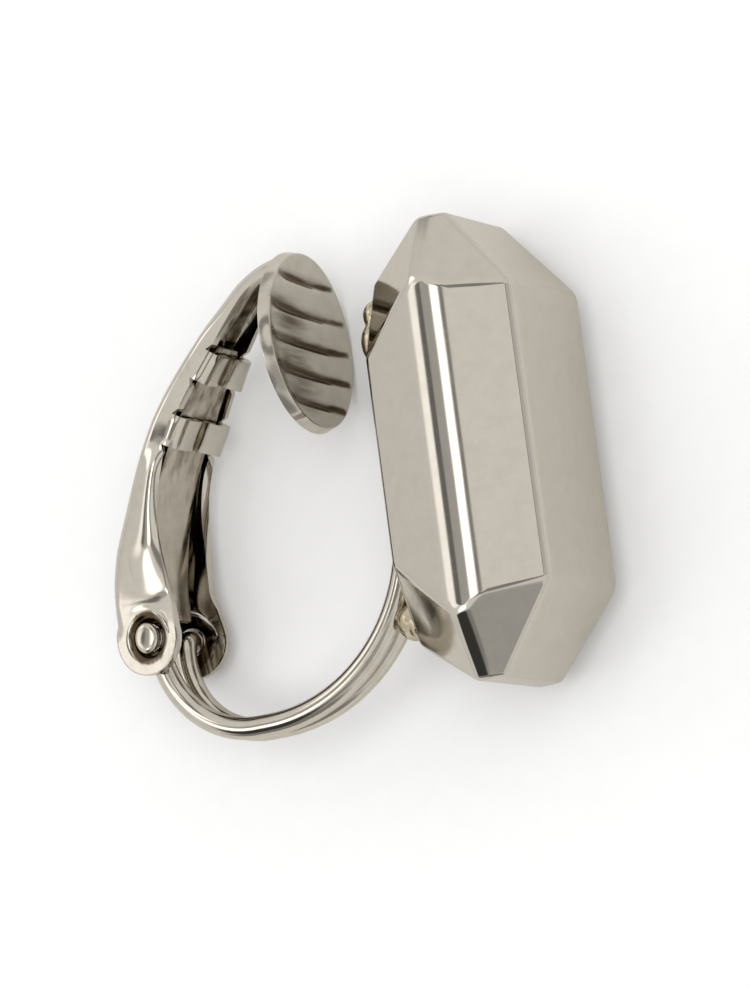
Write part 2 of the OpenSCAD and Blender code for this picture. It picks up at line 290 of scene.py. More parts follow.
wire = 0.5
leg_side = 0.56
sweep_radius = 7.6
turn_radius = 4.1
low_stretch = 0.65
splay = math.radians(7)
end_radius = 0.55
wire_sunk = 0.12
wire_x = back_x - wire + wire_sunk
sweep_x = wire_x - sweep_radius
turn_x = sweep_x - low_stretch
hinge = Vector((turn_x - turn_radius, -5.2, 0))
ear_side = leg_side + turn_radius * math.sin(splay)
end_side = ear_side + end_radius * math.cos(splay)
turn_y = hinge.y - end_radius * (1 - math.sin(splay))
low_y = turn_y - turn_radius * math.cos(splay)
sweep_y = low_y + sweep_radius
loop_top = 5.6
loop_y = loop_top - leg_side
pin_side, pin_end = 2.15, 0.25

# The head is shifted back a little, stretched to an oval, and falls off towards its sides
head_depth, head_rounding, head_back = 0.2, 0.16, 0.08
head_stretch_x, head_stretch_y, head_fall = 1.2, 1.38, 0.12


def draw_out(x, y, z):
    """Pulls the wire's open end straight on."""
    bpy.ops.mesh.extrude_region_move(TRANSFORM_OT_translate={"value": (x, y, z)})


def bend_round(centre, axis, degrees, steps):
    """Bends the wire's open end round a centre."""
    bpy.ops.mesh.spin(
        steps=steps, angle=-math.radians(degrees), center=centre, axis=axis, dupli=False
    )


clear_bench()
bpy.ops.mesh.primitive_circle_add(
    vertices=28, radius=wire, fill_type="NOTHING", location=(hinge.x, hinge.y, pin_side)
)
loop = bpy.context.object
loop.name = "wire_loop"
bpy.ops.object.transform_apply(location=True, rotation=True, scale=True)
bpy.ops.object.mode_set(mode="EDIT")
bpy.ops.mesh.select_all(action="SELECT")
draw_out(0, 0, -pin_end)
draw_out(0, 0, end_side - pin_side + pin_end)
bend_round((hinge.x, hinge.y - end_radius, end_side), (1, 0, 0), -83, 8)
bend_round((turn_x, turn_y, ear_side), (0, -math.sin(splay), math.cos(splay)), 90, 24)
draw_out(low_stretch, 0, 0)
bend_round((sweep_x, sweep_y, leg_side), (0, 0, 1), 90, 40)
draw_out(0, loop_y - sweep_y, 0)
bend_round((wire_x, loop_y, 0), (1, 0, 0), -180, 12)
draw_out(0, sweep_y - loop_y, 0)
bend_round((sweep_x, sweep_y, -leg_side), (0, 0, 1), -90, 40)
draw_out(-low_stretch, 0, 0)
bend_round((turn_x, turn_y, -ear_side), (0, math.sin(splay), math.cos(splay)), -90, 24)
bend_round((hinge.x, hinge.y - end_radius, -end_side), (1, 0, 0), -83, 8)
draw_out(0, 0, end_side - pin_side + pin_end)
draw_out(0, 0, -pin_end)
for side in (1, -1):
    bpy.ops.object.mode_set(mode="OBJECT")
    mesh = loop.data
    for part in (*mesh.vertices, *mesh.edges, *mesh.polygons):
        part.select = False
    for vertex in mesh.vertices:
        vertex.select = abs(vertex.co.z - side * pin_side) < 0.001
    bpy.ops.object.mode_set(mode="EDIT")
    bpy.ops.mesh.select_mode(type="VERT")
    bpy.ops.mesh.edge_face_add()
    bpy.ops.mesh.bevel(offset=head_rounding, segments=5, affect="EDGES")
bpy.ops.mesh.select_all(action="SELECT")
bpy.ops.mesh.remove_doubles(threshold=0.0001)
bpy.ops.mesh.normals_make_consistent(inside=False)
bpy.ops.object.mode_set(mode="OBJECT")
for vertex in loop.data.vertices:
    place = vertex.co
    if abs(place.z) > pin_side - head_depth:
        place.x = hinge.x - head_back + head_stretch_x * (place.x - hinge.x)
        place.y = hinge.y + head_stretch_y * (place.y - hinge.y)
        place.z -= math.copysign(head_fall * (place.x - hinge.x), place.z)
lay_down(loop)
even_shading(loop)

wire_metal = plated_metal(
    "plated wire",
    bright=(0.54, 0.50, 0.435),
    darkened=(0.48, 0.435, 0.36),
    sizes={
        "Wave size": 700.0,
        "Base roughness": 0.08,
        "Haze amount": 0.08,
        "Scratch amount": 0.4,
    },
    bump=0.3,
)
loop.data.materials.append(wire_metal)
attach(loop, "setting")
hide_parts("block_and_wire")


# Solder: hard solder that ran round the loop's closed end and round the two legs where they leave the
# block. It was plated over with the rest, and stays a little lumpy and yellower than the polished metal.


grain_size, flow_passes = 0.06, 24


def solder_blob(name, drops):
    """Melts several drops of solder, each a centre and three radii, into one blob."""
    balls = []
    for centre, radii in drops:
        clear_bench()
        bpy.ops.mesh.primitive_uv_sphere_add(segments=24, ring_count=16, location=centre, scale=radii)
        balls.append(bpy.context.object)
    bpy.ops.object.select_all(action="DESELECT")
    for ball in balls:
        ball.select_set(True)
    bpy.context.view_layer.objects.active = balls[0]
    bpy.ops.object.transform_apply(location=True, rotation=True, scale=True)
    bpy.ops.object.join()
    blob = bpy.context.object
    blob.name = name
    melt = blob.modifiers.new("melt", "REMESH")
    melt.mode = "VOXEL"
    melt.voxel_size = grain_size
    flow = blob.modifiers.new("flow", "SMOOTH")
    flow.factor = 0.5
    flow.iterations = flow_passes
    apply_all(blob)
    lay_down(blob)
    use_only(blob)
    bpy.ops.object.shade_smooth()
    return blob


foot_y = -6.6
top_solder = solder_blob(
    "top_solder",
    [
        ((back_x + 0.05, 5.6, 0.35), (1.15, 1.2, 1.4)),
        ((back_x + 0.05, 5.6, -0.35), (1.15, 1.15, 1.45)),
        ((back_x - 0.1, 4.9, 0.0), (0.8, 1.2, 1.2)),
        ((back_x + 0.05, 6.2, 0.5), (0.75, 0.7, 0.9)),
        ((back_x + 0.0, 5.3, 1.45), (0.7, 1.0, 0.85)),
        ((back_x + 0.05, 6.5, 1.15), (0.65, 0.75, 0.85)),
        ((back_x + 0.05, 4.4, 1.2), (0.5, 0.8, 0.75)),
    ],
)
foot_solder = solder_blob(
    "foot_solder",
    [
        ((back_x - 0.45, foot_y, 0.35), (0.85, 0.85, 1.0)),
        ((back_x - 0.45, foot_y + 0.05, -0.35), (0.85, 0.9, 1.1)),
        ((back_x - 0.05, foot_y - 0.3, 0.75), (0.5, 0.6, 0.7)),
        ((back_x - 0.05, foot_y - 0.35, -0.6), (0.55, 0.6, 0.8)),
        ((back_x - 0.1, foot_y + 0.75, 0.1), (0.6, 0.9, 1.2)),
    ],
)
solder_metal = plated_metal(
    "plated solder",
    bright=(0.52, 0.46, 0.34),
    darkened=(0.42, 0.355, 0.24),
    sizes={
        "Wave size": 1500.0,
        "Haze size": 2600.0,
        "Base roughness": 0.15,
        "Haze amount": 0.16,
        "Scratch amount": 0.2,
    },
    bump=0.8,
)
for blob in (top_solder, foot_solder):
    blob.data.materials.append(solder_metal)
    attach(blob, "setting")
    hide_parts("block_and_wire")


# Lever: a blank stamped from thin sheet and folded into a channel, with two round ears, dimpled hinge
# holes, walls that taper up the back, two pairs of tabs folded in over the spring, and a neck that
# turns over to the pad. It turns on the wire's two ends.

sheet = 0.35
ear_radius = 1.63
hole_radius = 0.64
heel_length, heel_radius, heel_turn = 0.9, 5.5, math.radians(21)
bow_radius, bow_length = 38.0, 13.3
neck_radius = 3.45
flare_length = 9.1
strip_depth = 0.41
spring_sheet = 0.25
seat_gap = 0.06
tab_under = strip_depth + spring_sheet + seat_gap
wall_depth = tab_under + 0.05
low_tab, high_tab, tab_length, tab_gap = 9.85, 12.98, 1.4, 0.5
tight_fold, wide_fold = 0.2, 0.55
ring_radius = 1.16
ear_half, wall_half, tab_half, neck_half = 1.85, 2.15, 1.55, 1.05
flare = math.tan(math.radians(7))

# A run is measured along the lever's back, up from the hinge. The wall bulges, the back swells and
# the fold is wide between the tabs and the ear, each with the runs where it comes and where it goes
bulge, bulge_in, bulge_out = 0.15, (1.2, 4.0), (8.0, 9.2)
crown, crown_in, crown_out = 0.42, (0.2, 4.5), (11.0, 17.5)
wide_in, wide_out, wide_neck = (1.0, 4.5), (5.0, 9.0), (high_tab + 0.8, high_tab + 3.0)

heel_centre = Vector((hinge.x - ear_radius + heel_radius, hinge.y + heel_length))
heel_way = Vector((math.cos(heel_turn), -math.sin(heel_turn)))
bow_centre = heel_centre + (bow_radius - heel_radius) * heel_way
neck_turn = heel_turn + bow_length / bow_radius
neck_way = Vector((math.cos(neck_turn), -math.sin(neck_turn)))
neck_centre = bow_centre + (neck_radius - bow_radius) * neck_way
heel_end = heel_length + heel_radius * heel_turn
bow_end = heel_end + bow_length
neck_end = bow_end + neck_radius * (math.pi / 2 - neck_turn)


def back_turn(run):
    """Angle of the lever's back from upright, at a run along it from the hinge."""
    if run <= heel_length:
        return 0.0
    if run <= heel_end:
        return (run - heel_length) / heel_radius
    if run <= bow_end:
        return heel_turn + (run - heel_end) / bow_radius
    return min(neck_turn + (run - bow_end) / neck_radius, math.pi / 2)


def lever_point(run, depth):
    """Point of the side view at a run along the back and a depth in from it."""
    turn = back_turn(run)
    way = Vector((-math.cos(turn), math.sin(turn)))
    if run <= heel_length:
        return Vector((hinge.x - ear_radius + depth, hinge.y + run))
    if run <= heel_end:
        return heel_centre + (heel_radius - depth) * way
    if run <= bow_end:
        return bow_centre + (bow_radius - depth) * way
    if run <= neck_end:
        return neck_centre + (neck_radius - depth) * way
    return neck_centre + Vector((run - neck_end, neck_radius - depth))


def wall_at(run):
    """Depth of the side walls, which taper smoothly from the ears."""
    share = 0.5 - 0.5 * math.cos(math.pi * min(1, run / flare_length))
    return 2 * ear_radius + (wall_depth - 2 * ear_radius) * share


def half_width(y):
    """Half the lever's width: pinched at the ears, tapered to the neck."""
    low = lever_point(low_tab, 0).y
    high = lever_point(high_tab + tab_length / 2 + 0.25, 0).y
    stations = [
        (hinge.y + ear_radius, ear_half),
        (hinge.y + 2.5 * ear_radius, wall_half),
        (low, wall_half),
        (high, tab_half),
        (neck_centre.y + neck_radius + 0.12, neck_half),
    ]
    if y <= stations[0][0]:
        return stations[0][1]
    for (y0, w0), (y1, w1) in zip(stations, stations[1:]):
        if y <= y1:
            share = (y - y0) / (y1 - y0)
            soft = share * share * (3 - 2 * share)
            return w0 + (w1 - w0) * (0.5 * share + 0.5 * soft)
    return stations[-1][1]


def spread(first, last, steps):
    """Evenly spaced stations from first up to, but without, last."""
    return [first + (last - first) * i / steps for i in range(steps)]


ear_runs = [0, 0.25, 0.5, 0.75, 1.0, 1.35]
straight_run = 1.7
runs = ear_runs + spread(straight_run, low_tab - tab_length / 2, 22)
runs += spread(low_tab - tab_length / 2, low_tab + tab_length / 2, 4)
runs += spread(low_tab + tab_length / 2, high_tab - tab_length / 2, 6)
runs += spread(high_tab - tab_length / 2, high_tab + tab_length / 2, 4)
runs += spread(high_tab + tab_length / 2, bow_end, 7)
runs += spread(bow_end, neck_end, 16) + [neck_end, neck_end + 0.2]
web_row = ear_runs.index(1.0)
fronts, arcs, folds, webs = 5, 16, 5, 4
tab_root, fold_share = 0.55, 0.75


def soften(low, high, value):
    """Smooth step from 0 at low to 1 at high."""
    share = max(0.0, min(1.0, (value - low) / (high - low)))
    return share * share * (3 - 2 * share)


def wall_side(place, run, depth):
    """How far out the wall's middle stands, as the walls open a little towards their front."""
    upper = 0.5 * flare * (depth - 0.2 * wall_at(run))
    lower = flare * (place.x - hinge.x + ear_radius)
    share = soften(0.0, 3.0, run)
    return half_width(place.y) - sheet / 2 + lower * (1 - share) + upper * share


def crown_of(run):
    """How far the pressed back swells out between the heel and the neck."""
    return crown * soften(*crown_in, run) * (1 - soften(*crown_out, run))


def wall_point(column, row):
    """Middle of the sheet on the near wall: columns run from its front edge round the fold."""
    run = runs[row]
    folded = soften(0.2, 1.0, run)
    wide = soften(*wide_in, run) * (1 - soften(*wide_out, run)) + 0.6 * soften(*wide_neck, run)
    bend = tight_fold + (wide_fold - tight_fold) * wide
    fold_start = (ear_radius - ring_radius) * (1 - folded) + (sheet / 2 + bend) * folded
    if column <= fronts + arcs:
        long_run = max(run, straight_run)
        front = wall_at(long_run)
        if any(abs(run - tab) < tab_length / 2 + 0.01 for tab in (low_tab, high_tab)):
            front = tab_root
        fold_start = min(fold_start, front * fold_share)
        share = column / (fronts + arcs)
        depth = front + (fold_start - front) * share
        place = lever_point(long_run, depth - crown_of(run) * share**2)
        if run < straight_run:
            if column <= fronts:
                out = ear_radius + (ring_radius - ear_radius) * column / fronts
                start = hinge.xy + Vector((out, 0))
            else:
                turn = math.pi * (column - fronts) / arcs
                start = hinge.xy + ring_radius * Vector((math.cos(turn), math.sin(turn)))
            place = start.lerp(place, run / straight_run)
        swell = bulge * soften(*bulge_in, run) * (1 - soften(*bulge_out, run))
        swell *= math.sin(math.pi * column / (fronts + arcs))
        return Vector((*place, wall_side(place, run, depth) + swell))
    share = (column - fronts - arcs) / folds
    turn = share * math.pi / 2
    fold_start = min(fold_start, wall_at(run) * fold_share)
    radius = fold_start - sheet / 2
    depth = fold_start - radius * math.sin(turn) * folded - fold_start * share * (1 - folded)
    place = lever_point(run, depth - crown_of(run))
    inward = radius * (1 - math.cos(turn)) * folded
    return Vector((*place, wall_side(place, run, depth) - inward))


def formed_sheet(columns, rows, former):
    """Adds a flat grid of sheet and presses it over a former, given its columns and rows."""
    clear_bench()
    bpy.ops.mesh.primitive_grid_add(x_subdivisions=columns, y_subdivisions=rows, size=1)
    blank = bpy.context.object
    for vertex in blank.data.vertices:
        column = round((vertex.co.x + 0.5) * columns)
        row = round((vertex.co.y + 0.5) * rows)
        vertex.co = former(column, row)
    return blank


def web_point(column, row):
    """Middle of the sheet across the web, from the fold to the lever's middle."""
    edge = wall_point(fronts + arcs + folds, row + web_row)
    return Vector((edge.x, edge.y, edge.z * (1 - column / webs)))


def ear_point(column, row):
    """Lower half of the ear, between the ring round the hinge hole and its round edge."""
    turn = math.pi + math.pi * row / arcs
    radius = ring_radius + (ear_radius - ring_radius) * column / fronts
    place = hinge.xy + radius * Vector((math.cos(turn), math.sin(turn)))
    return Vector((*place, wall_side(place, 0, 0)))


dimple_depth = 0.3
dimple_steps = 10


def dimple_point(column, row):
    """The dimple pressed in round the hinge hole."""
    radius = hole_radius + (ring_radius - hole_radius) * column / dimple_steps
    sunk = dimple_depth * (1 - soften(hole_radius + 0.02, ring_radius - 0.04, radius))
    turn = 2 * math.pi * row / (2 * arcs)
    place = hinge.xy + radius * Vector((math.cos(turn), math.sin(turn)))
    return Vector((*place, wall_side(place, 0, 0) - sunk))


tab_corner, tab_crest, tip_rounding = 0.4, 0.22, 0.04
tab_columns, roll_columns, tab_rows = 10, 5, 4


def tab_former(first_row):
    """Former for one tab: rolled up from the wall's front edge and pressed down on the spring."""
    middle = tab_under + sheet / 2
    crest = middle + tab_crest

    def tab_point(column, row):
        run = runs[first_row + row]
        edge = wall_point(0, first_row + row)
        inner = tab_gap / 2 + tip_rounding * (1 - abs(row - tab_rows / 2) / (tab_rows / 2))
        if column == 0:
            return edge
        if column <= roll_columns:
            turn = (column - 1) / (roll_columns - 1) * math.pi / 2
            depth = crest - tab_corner + tab_corner * math.sin(turn)
            side = edge.z - tab_corner * (1 - math.cos(turn))
            return Vector((*lever_point(run, depth), side))
        share = (column - roll_columns) / (tab_columns - roll_columns)
        depth = middle + tab_crest * math.cos(share * math.pi / 2)
        side = (edge.z - tab_corner) * (1 - share) + inner * share
        return Vector((*lever_point(run, depth), side))

    return tab_point


parts = [
    formed_sheet(fronts + arcs + folds, len(runs) - 1, wall_point),
    formed_sheet(webs, len(runs) - 1 - web_row, web_point),
    formed_sheet(fronts, arcs, ear_point),
    formed_sheet(dimple_steps, 2 * arcs, dimple_point),
    formed_sheet(tab_columns, tab_rows, tab_former(runs.index(low_tab - tab_length / 2))),
    formed_sheet(tab_columns, tab_rows, tab_former(runs.index(high_tab - tab_length / 2))),
]
clear_bench()
for part in parts:
    part.select_set(True)
bpy.context.view_layer.objects.active = parts[0]
bpy.ops.object.join()
lever = bpy.context.object
lever.name = "folded_lever"
halves = lever.modifiers.new("far half", "MIRROR")
halves.use_axis = (False, False, True)
halves.merge_threshold = 0.001
apply_all(lever)
bpy.ops.object.mode_set(mode="EDIT")
bpy.ops.mesh.select_all(action="SELECT")
bpy.ops.mesh.remove_doubles(threshold=0.002)
bpy.ops.mesh.normals_make_consistent(inside=False)
bpy.ops.object.mode_set(mode="OBJECT")
gauge = lever.modifiers.new("sheet", "SOLIDIFY")
gauge.thickness = sheet
gauge.offset = 0
tumbled = lever.modifiers.new("tumbled edges", "BEVEL")
tumbled.limit_method = "ANGLE"
tumbled.angle_limit = math.radians(50)
tumbled.width = 0.07
tumbled.segments = 3
apply_all(lever)

# The dimples' inner side is pressed back flat, clear of the wire, so only the outer face is sunk
for vertex in lever.data.vertices:
    place = vertex.co
    inner = wall_side(place, 0, 0) - sheet / 2
    if math.hypot(place.x - hinge.x, place.y - hinge.y) < ring_radius and abs(place.z) < inner:
        place.z = math.copysign(inner, place.z)


def depth_of(x, y):
    """How deep a place of the side view lies in from the lever's back."""
    neck = (neck_centre, neck_radius, neck_turn)
    bow = (bow_centre, bow_radius, heel_turn)
    for centre, radius, first in (neck, bow):
        out = Vector((x, y)) - centre
        if math.atan2(out.y, -out.x) > first:
            return radius - out.length
    out = Vector((x, y)) - heel_centre
    return heel_radius - out.length if out.y > 0 else x - hinge.x + ear_radius


# Painted shade darkens the dimples and the inside of the channel
recess_shade = lever.data.attributes.new("recess_shade", "FLOAT", "POINT")
for vertex in lever.data.vertices:
    place = vertex.co
    from_hinge = math.hypot(place.x - hinge.x, 0.85 * (place.y - hinge.y))
    in_dimple = 1 - soften(0.92, 1.12, from_hinge)
    inner_wall = vertex.normal.z * place.z < -0.4 * abs(place.z)
    near_back = -0.2 < depth_of(place.x, place.y) < sheet * 1.3
    between_walls = abs(place.z) < half_width(place.y) - 0.36
    inside = 0.0
    if inner_wall or (near_back and between_walls and vertex.normal.x > 0.2):
        inside = 0.24 + 0.4 * soften(5.0, 7.0, place.y)
        inside += 0.2 * (1 - soften(hinge.y, hinge.y + 3.0, place.y))
    recess_shade.data[vertex.index].value = max(in_dimple, inside)
lay_down(lever)
even_shading(lever)
lever_metal = plated_metal(
    "plated lever",
    bright=(0.54, 0.50, 0.435),
    darkened=(0.49, 0.45, 0.38),
    sizes={
        "Wave size": 330.0,
        "Base roughness": 0.07,
        "Haze amount": 0.07,
        "Scratch amount": 0.5,
    },
    bump=0.4,
)


def paint_shade(material, attribute, colour, stretch, size):
    """Paints shade in the given colour, streaked, where the piece's attribute asks for it."""
    nodes, links = material.node_tree.nodes, material.node_tree.links
    surface = nodes["Principled BSDF"]
    plating = surface.inputs["Base Color"].links[0].from_socket
    where = nodes.new("ShaderNodeAttribute")
    where.attribute_name = attribute
    place = nodes.new("ShaderNodeTexCoord")
    drawn = nodes.new("ShaderNodeMapping")
    drawn.inputs["Scale"].default_value = stretch
    links.new(place.outputs["Object"], drawn.inputs["Vector"])
    streaks = nodes.new("ShaderNodeTexNoise")
    streaks.inputs["Scale"].default_value = size
    streaks.inputs["Detail"].default_value = 3.0
    links.new(drawn.outputs["Vector"], streaks.inputs["Vector"])
    patchy = nodes.new("ShaderNodeMapRange")
    patchy.inputs["From Min"].default_value = 0.3
    patchy.inputs["From Max"].default_value = 0.7
    patchy.inputs["To Min"].default_value = -0.3
    patchy.inputs["To Max"].default_value = 0.3
    links.new(streaks.outputs["Fac"], patchy.inputs["Value"])
    shade_amount = nodes.new("ShaderNodeMath")
    shade_amount.operation = "ADD"
    links.new(where.outputs["Fac"], shade_amount.inputs[0])
    links.new(patchy.outputs["Result"], shade_amount.inputs[1])
    shade_mask = nodes.new("ShaderNodeMapRange")
    shade_mask.interpolation_type = "SMOOTHSTEP"
    shade_mask.inputs["From Min"].default_value = 0.12
    shade_mask.inputs["From Max"].default_value = 0.95
    links.new(shade_amount.outputs[0], shade_mask.inputs["Value"])
    shade_mix = nodes.new("ShaderNodeMix")
    shade_mix.data_type = "RGBA"
    shade_mix.inputs["B"].default_value = (*colour, 1)
    links.new(shade_mask.outputs["Result"], shade_mix.inputs["Factor"])
    links.new(plating, shade_mix.inputs["A"])
    links.new(shade_mix.outputs["Result"], surface.inputs["Base Color"])


# Painted shade: dark brown laid over the dimples and the inside of the channel
paint_shade(lever_metal, "recess_shade", colour=(0.10, 0.072, 0.045), stretch=(1.0, 0.15, 1.0), size=2500.0)
lever.data.materials.append(lever_metal)
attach(lever, "lever")
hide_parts("clip_lever")


# Pad: an oval of the same metal, dished and fast on the lever's neck, with five grip grooves pressed
# across its hollow face. Painted shade and dark reflection darken the hollow and the grooves.

pad_height, pad_width, pad_sheet = 7.9, 7.17, 0.55
dish_depth = 0.6
pad_tilt = math.radians(0.5)
groove_pitch, groove_depth, groove_half = 1.38, 0.15, 0.3
groove_slope, groove_arch, groove_rim = 0.07, 0.01, 0.1
groove_fade, shade_fade = 1.6, 0.3
dish_half = (pad_height + pad_width) / 4
dish_radius = (dish_half**2 + dish_depth**2) / (2 * dish_depth)
dish_centre = dish_radius - dish_depth
pad_lead, pad_rise = 0.65, 0.12
pad_top = neck_centre + Vector((pad_lead, neck_radius + pad_rise))
pad_centre = pad_top + pad_height / 2 * Vector((math.sin(pad_tilt), -math.cos(pad_tilt)))
pad_rings, pad_sectors = 64, 176


def groove_share(y, z, run_out):
    """Share of a grip groove's depth at a place on the hollow face, running out towards the rim."""
    deep = 0.0
    for i in range(-2, 3):
        line = i * groove_pitch + groove_slope * z - groove_arch * z * z
        reach = pad_width / 2 * math.sqrt(1 - (2 * line / pad_height) ** 2) - groove_rim
        fade = 1 - soften(reach - run_out, reach, abs(z))
        deep = max(deep, fade * (1 - soften(0.0, groove_half, abs(y - line))))
    return deep


def pad_point(column, row):
    """Middle of the pad's metal: rings out from the centre."""
    turn = 2 * math.pi * row / pad_sectors
    share = (column / pad_rings) ** 0.9
    y = share * pad_height / 2 * math.sin(turn)
    z = share * pad_width / 2 * math.cos(turn)
    across = math.hypot(y, z)
    x = dish_centre - math.sqrt((dish_radius + pad_sheet / 2) ** 2 - across**2)
    return Vector((x, y, z))


pad = formed_sheet(pad_rings, pad_sectors, pad_point)
pad.name = "grip_pad"
use_only(pad)
bpy.ops.object.mode_set(mode="EDIT")
bpy.ops.mesh.select_all(action="SELECT")
bpy.ops.mesh.remove_doubles(threshold=0.0005)
bpy.ops.mesh.normals_make_consistent(inside=False)
bpy.ops.object.mode_set(mode="OBJECT")
gauge = pad.modifiers.new("sheet", "SOLIDIFY")
gauge.thickness = pad_sheet
gauge.offset = 0
rim = pad.modifiers.new("rolled rim", "BEVEL")
rim.limit_method = "ANGLE"
rim.angle_limit = math.radians(50)
rim.width = 0.14
rim.segments = 4
apply_all(pad)

# The grooves are pressed into the hollow face only
worn = pad.data.attributes.new("worn", "FLOAT", "POINT")
for vertex in pad.data.vertices:
    y, z = vertex.co.y, vertex.co.z
    across = math.hypot(y, z)
    front = dish_centre - math.sqrt(dish_radius**2 - across**2)
    if abs(vertex.co.x - front) < 0.05:
        vertex.co.x -= groove_depth * groove_share(y, z, groove_fade)
        # Painted shade: the dish's hollow and the grooves are darkened
        hollow = 1 - soften(0.6, 3.2, math.hypot(0.75 * (y + 0.5), z - 1.3))
        shade_level = 0.56 * hollow + 0.95 * groove_share(y, z, shade_fade)
        worn.data[vertex.index].value = min(1.0, shade_level)
pad.matrix_world = Matrix.Translation((*pad_centre, 0)) @ Matrix.Rotation(pad_tilt, 4, "Z")
lay_down(pad)
use_only(pad)
bpy.ops.object.shade_smooth_by_angle(angle=math.radians(40))
pad_metal = plated_metal(
    "worn pad",
    bright=(0.54, 0.50, 0.435),
    darkened=(0.48, 0.44, 0.37),
    sizes={
        "Wave size": 900.0,
        "Base roughness": 0.1,
        "Haze amount": 0.1,
        "Scratch amount": 0.5,
    },
    bump=0.4,
)
# Painted shade, dark brown and streaked, in the pad's hollow and grooves
paint_shade(pad_metal, "worn", colour=(0.085, 0.058, 0.034), stretch=(1.0, 1.0, 0.13), size=2000.0)
pad.data.materials.append(pad_metal)
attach(pad, "lever")
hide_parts("clip_lever")


# Leaf spring: a strip of spring steel held flat under the tabs. Below them it curves away from the
# web, and its free end stands just over the turned wire ends, which it presses on as the lever snaps
# shut or open.

strip_middle = strip_depth + spring_sheet / 2
clamp_low = low_tab - tab_length / 2
clamp_high = high_tab + tab_length / 2 + 0.25
strip_start = lever_point(clamp_low, strip_middle)
tip_out, tip_up = 0.35, 0.78
strip_tip = hinge.xy + Vector((tip_out, tip_up))
chord = strip_tip - strip_start
start_turn = back_turn(clamp_low)
swing = start_turn - math.atan2(-chord.x, -chord.y)
strip_radius = chord.length / (2 * math.sin(swing))
strip_centre = strip_start + strip_radius * Vector((math.cos(start_turn), -math.sin(start_turn)))
clamp_rows, free_rows, strip_columns = 14, 26, 10
strip_clear = 0.24


def strip_point(column, row):
    """Middle of the strip, from its free end up to its clamped end."""
    if row < free_rows:
        turn = start_turn - 2 * swing * (1 - row / free_rows)
        place = strip_centre + strip_radius * Vector((-math.cos(turn), math.sin(turn)))
    else:
        run = clamp_low + (clamp_high - clamp_low) * (row - free_rows) / clamp_rows
        place = lever_point(run, strip_middle)
    half = half_width(place.y) - sheet - strip_clear
    last = free_rows + clamp_rows
    if row == 0 or row == last:
        half -= 0.18
    elif row == 1 or row == last - 1:
        half -= 0.04
    return Vector((*place, half * (2 * column / strip_columns - 1)))


spring = formed_sheet(strip_columns, free_rows + clamp_rows, strip_point)
spring.name = "spring_strip"
gauge = spring.modifiers.new("sheet", "SOLIDIFY")
gauge.thickness = spring_sheet
gauge.offset = 0
eased = spring.modifiers.new("eased edges", "BEVEL")
eased.limit_method = "ANGLE"
eased.angle_limit = math.radians(50)
eased.width = 0.05
eased.segments = 3
apply_all(spring)

# Painted shade darkens the strip along its edges, at its free end and under the tabs
darkened = spring.data.attributes.new("darkened", "FLOAT", "POINT")
for vertex in spring.data.vertices:
    place = vertex.co
    edge = (abs(place.z) / (half_width(place.y) - sheet - strip_clear)) ** 2
    low_end = 1 - soften(hinge.y + 0.5, hinge.y + 5.0, place.y)
    under_tabs = soften(strip_start.y - 2.5, strip_start.y + 0.5, place.y)
    darkened.data[vertex.index].value = 0.2 * edge + 0.25 * low_end + 0.4 * under_tabs
lay_down(spring)
even_shading(spring)
spring_metal = plated_metal(
    "spring strip",
    bright=(0.52, 0.475, 0.40),
    darkened=(0.42, 0.375, 0.30),
    sizes={
        "Wave size": 1100.0,
        "Base roughness": 0.12,
        "Haze amount": 0.1,
        "Scratch amount": 0.7,
    },
    bump=0.4,
)
# Painted shade: dark brown, streaked along the strip
paint_shade(spring_metal, "darkened", colour=(0.12, 0.088, 0.055), stretch=(1.0, 0.06, 1.0), size=2400.0)
spring.data.materials.append(spring_metal)
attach(spring, "lever")
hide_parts("leaf_spring")


# Floor: a plain sheet of matt white card that the earring lies on, as in a product picture.
# It is flat and larger than the picture.

clear_bench()
bpy.ops.mesh.primitive_plane_add(size=2.4, location=(0, 0, 0))
floor = bpy.context.object
floor.name = "floor"
card = bpy.data.materials.new("white card")
card.use_nodes = True
paper = card.node_tree.nodes["Principled BSDF"]
paper.inputs["Roughness"].default_value = 0.75
paper.inputs["Specular IOR Level"].default_value = 0.2
grain = card.node_tree.nodes.new("ShaderNodeTexNoise")
grain.inputs["Scale"].default_value = 900.0
where = card.node_tree.nodes.new("ShaderNodeTexCoord")
card.node_tree.links.new(where.outputs["Object"], grain.inputs["Vector"])
shade = card.node_tree.nodes.new("ShaderNodeMix")
shade.data_type = "RGBA"
shade.inputs["A"].default_value = (0.80, 0.80, 0.795, 1)
shade.inputs["B"].default_value = (0.83, 0.83, 0.825, 1)
card.node_tree.links.new(grain.outputs["Fac"], shade.inputs["Factor"])
card.node_tree.links.new(shade.outputs["Result"], paper.inputs["Base Color"])
floor.data.materials.append(card)


# Light: a white tent round the table, with soft lamps shining through it and darker things standing
# between them, which the polished metal mirrors. A weak soft lamp overhead throws the shadow.

tent = bpy.data.worlds.new("light tent")
bpy.context.scene.world = tent
tent.use_nodes = True
nodes, links = tent.node_tree.nodes, tent.node_tree.links
sky = nodes["Background"]
towards = nodes.new("ShaderNodeTexCoord")
height = nodes.new("ShaderNodeSeparateXYZ")
links.new(towards.outputs["Generated"], height.inputs["Vector"])
climb = nodes.new("ShaderNodeMapRange")
climb.inputs["From Min"].default_value = 0.0
climb.inputs["From Max"].default_value = 1.0
climb.inputs["To Min"].default_value = 0.9
climb.inputs["To Max"].default_value = 1.08
links.new(height.outputs["Z"], climb.inputs["Value"])
glow = climb.outputs["Result"]


